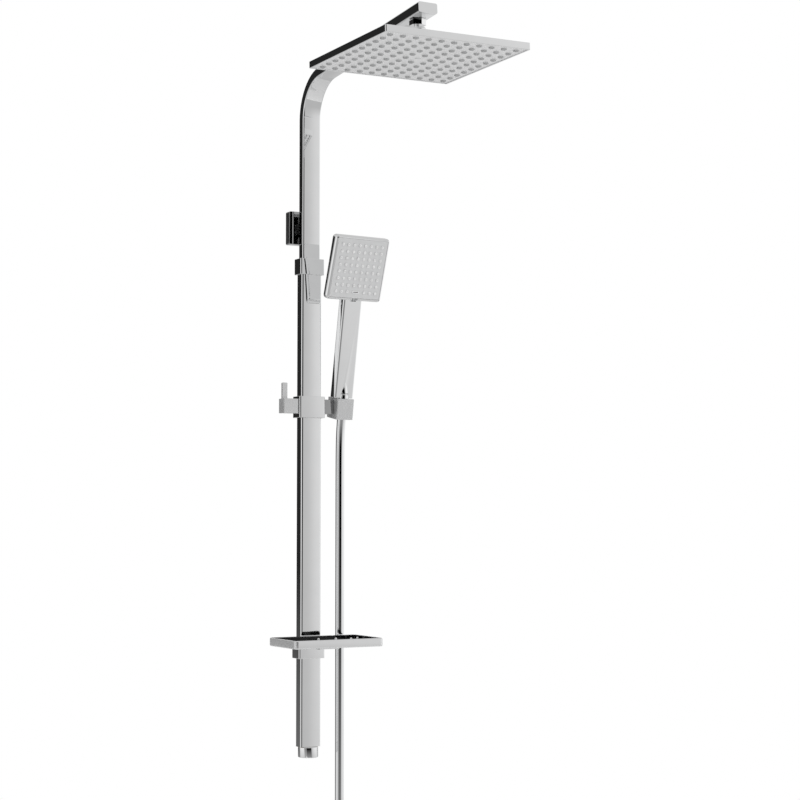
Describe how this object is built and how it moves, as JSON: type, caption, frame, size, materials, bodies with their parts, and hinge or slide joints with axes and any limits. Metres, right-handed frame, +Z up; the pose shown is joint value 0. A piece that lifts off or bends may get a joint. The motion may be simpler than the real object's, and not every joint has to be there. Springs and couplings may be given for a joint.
{
  "type": "rainfall shower column",
  "caption": "Chrome telescopic shower column with arched arm, square overhead rose, sliding square hand shower, hose and small shelf.",
  "frame": {"origin": "middle of the wall flange's back face", "axes": "+Z up along the column, +Y into the wall, +X to the right seen from the front"},
  "size_m": [0.2924, 0.5333, 1.6054],
  "materials": {
    "chrome": "mirror-polished chrome plate",
    "chromed_plastic": "chrome-plated plastic, mirror bright",
    "steel": "plain stainless",
    "brass": "machined brass, hidden inside",
    "seal_rubber": "matt black rubber",
    "dark_plastic": "matt dark acetal",
    "nozzle_field": "satin silver face with soft pale nozzles",
    "smoked_insert": "glossy near-black tray floor",
    "hose_skin": "smooth silver hose skin under clear sleeve"
  },
  "bodies": {
    "wall_and_riser": {"wall_flange": "chrome", "wall_base_plate": "steel", "wall_screw_left": "steel", "wall_screw_right": "steel", "flange_neck": "chrome", "flange_grub_screw": "steel", "riser_tube": "chrome", "arm_end_cap": "chrome", "arm_outlet_ball": "chrome", "telescope_gland": "brass", "gland_seal_upper": "seal_rubber", "gland_seal_lower": "seal_rubber"},
    "rose_cup": {"rose_ball_cup": "dark_plastic"},
    "rose_washer": {"rose_ball_washer": "seal_rubber"},
    "overhead_rose": {"rose_swivel_nut": "chrome", "rose_swivel_seat": "brass", "rose_filter_screen": "steel", "rose_shell": "chrome", "rose_gasket": "seal_rubber", "rose_backing_plate": "steel", "rose_nozzle_plate": "nozzle_field", "rose_centre_screw": "steel"},
    "column": {"lower_column": "chrome", "column_collar": "chrome", "collar_grub_screw": "steel", "column_end_insert": "brass"},
    "union_nut": {"column_union_nut": "chrome", "union_washer": "seal_rubber"},
    "slider": {"slider_sleeve": "chrome", "slider_liner": "dark_plastic", "holder_arm": "chrome", "holder_pivot_bolt": "steel", "brake_pad": "seal_rubber"},
    "lock": {"lock_hub": "chrome", "lock_lever": "chrome", "lock_spindle": "steel"},
    "holder": {"holder_block": "chrome"},
    "cone_nut": {"hose_cone_nut": "chrome", "cone_nut_washer": "seal_rubber"},
    "hand_shower": {"hand_shower_body": "chromed_plastic", "hand_nozzle_plate": "nozzle_field", "hand_badge": "chrome", "hand_backing_plate": "dark_plastic", "hand_inlet": "brass", "hand_water_tube": "dark_plastic", "hand_flow_limiter": "dark_plastic"},
    "hose": {"hose_tube": "hose_skin", "hose_hank": "hose_skin", "hank_tie": "seal_rubber", "hose_tail": "hose_skin"},
    "hose_nut": {"hose_end_nut": "chrome", "hose_end_washer": "seal_rubber"},
    "shelf": {"shelf_frame": "chrome", "shelf_clamp": "chrome", "shelf_clamp_liner": "dark_plastic", "shelf_grub_screw": "steel", "shelf_rivet_left": "steel", "shelf_rivet_right": "steel"},
    "shelf_floor": {"shelf_insert": "smoked_insert"}
  },
  "joints": [
    {"name": "rose_tilt_side", "type": "hinge", "parent": "wall_and_riser", "child": "rose_cup", "pos_m": [0, -0.408, 0.247], "axis": [1, 0, 0], "range_deg": [-8, 8]},
    {"name": "rose_tilt_front", "type": "hinge", "parent": "rose_cup", "child": "rose_washer", "pos_m": [0, -0.408, 0.247], "axis": [0, 1, 0], "range_deg": [-8, 8]},
    {"name": "rose_spin", "type": "hinge", "parent": "rose_washer", "child": "overhead_rose", "pos_m": [0, -0.408, 0.247], "axis": [0, 0, 1], "continuous": true},
    {"name": "column_telescope", "type": "slide", "parent": "wall_and_riser", "child": "column", "axis": [0, 0, 1], "range_m": [-0.11, 0.04]},
    {"name": "union_nut_spin", "type": "hinge", "parent": "column", "child": "union_nut", "pos_m": [0, -0.035, -0.887], "axis": [0, 0, 1], "continuous": true},
    {"name": "slider_height", "type": "slide", "parent": "column", "child": "slider", "axis": [0, 0, 1], "range_m": [-0.2, 0.15]},
    {"name": "lock_turn", "type": "hinge", "parent": "slider", "child": "lock", "pos_m": [-0.038, -0.0343, -0.3066], "axis": [1, 0, 0], "range_deg": [0, 90]},
    {"name": "holder_tilt", "type": "hinge", "parent": "slider", "child": "holder", "pos_m": [0.0426, -0.0343, -0.3066], "axis": [1, 0, 0], "range_deg": [-3, 25]},
    {"name": "hand_lift", "type": "slide", "parent": "holder", "child": "cone_nut", "axis": [0, -0.1702, 0.9854], "range_m": [0, 0.036]},
    {"name": "hand_swivel", "type": "hinge", "parent": "cone_nut", "child": "hand_shower", "pos_m": [0.0582, -0.04753, -0.29149], "axis": [0, -0.1702, 0.9854], "range_deg": [-15, 60]},
    {"name": "hose_hang", "type": "hinge", "parent": "cone_nut", "child": "hose", "pos_m": [0.0582, -0.0417, -0.3254], "axis": [1, 0, 0], "range_deg": [-25, 3], "deforming": ["hose_tube"]},
    {"name": "hose_nut_spin", "type": "hinge", "parent": "hose", "child": "hose_nut", "pos_m": [0.0582, -0.0209, -1.3034], "axis": [0, 0, 1], "continuous": true},
    {"name": "shelf_height", "type": "slide", "parent": "column", "child": "shelf", "axis": [0, 0, 1], "range_m": [-0.12, 0.1]},
    {"name": "shelf_floor_lift", "type": "slide", "parent": "shelf", "child": "shelf_floor", "axis": [0, 0, 1], "range_m": [0, 0.025]}
  ],
  "couplings": [
    {"joint": "hose_hang", "follows": "holder_tilt", "ratio": -1}
  ]
}
